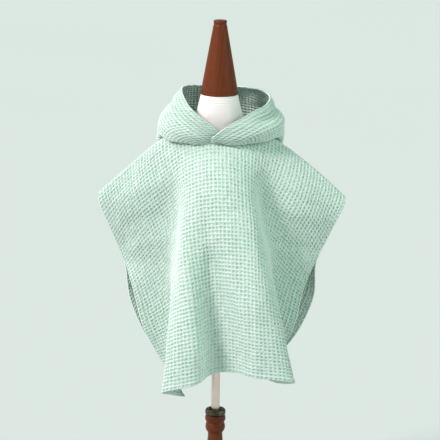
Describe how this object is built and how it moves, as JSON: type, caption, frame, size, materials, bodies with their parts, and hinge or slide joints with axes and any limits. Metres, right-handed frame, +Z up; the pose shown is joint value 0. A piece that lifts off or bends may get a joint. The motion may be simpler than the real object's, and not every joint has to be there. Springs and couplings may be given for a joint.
{
  "type": "hooded bath poncho on dress form",
  "caption": "Waffle cotton bath poncho with a hood laid back round the neck, open arm slits and hem, worn by a limbless dress form on a turned stand.",
  "frame": {"origin": "centre of the stand's underside, on the floor", "axes": "+Z up along the pole, the front of the garment faces -Y, the wearer's right hand is on the -X side"},
  "size_m": [0.5926, 0.4168, 1.3106],
  "materials": {
    "mint waffle cotton": "matte waffle weave",
    "white jersey cover": "matte fine knit",
    "turned walnut": "satin lacquer",
    "brushed steel": "brushed",
    "aged bronze": "dark aged bronze",
    "column wood": "satin lacquer",
    "base wood": "satin lacquer"
  },
  "bodies": {
    "root": {"front_panel": "mint waffle cotton", "back_panel": "mint waffle cotton", "hood_left_half": "mint waffle cotton", "hood_right_half": "mint waffle cotton", "form_torso": "white jersey cover", "finial": "turned walnut", "pole": "brushed steel", "collar": "aged bronze", "column": "column wood", "base": "base wood"}
  },
  "joints": []
}
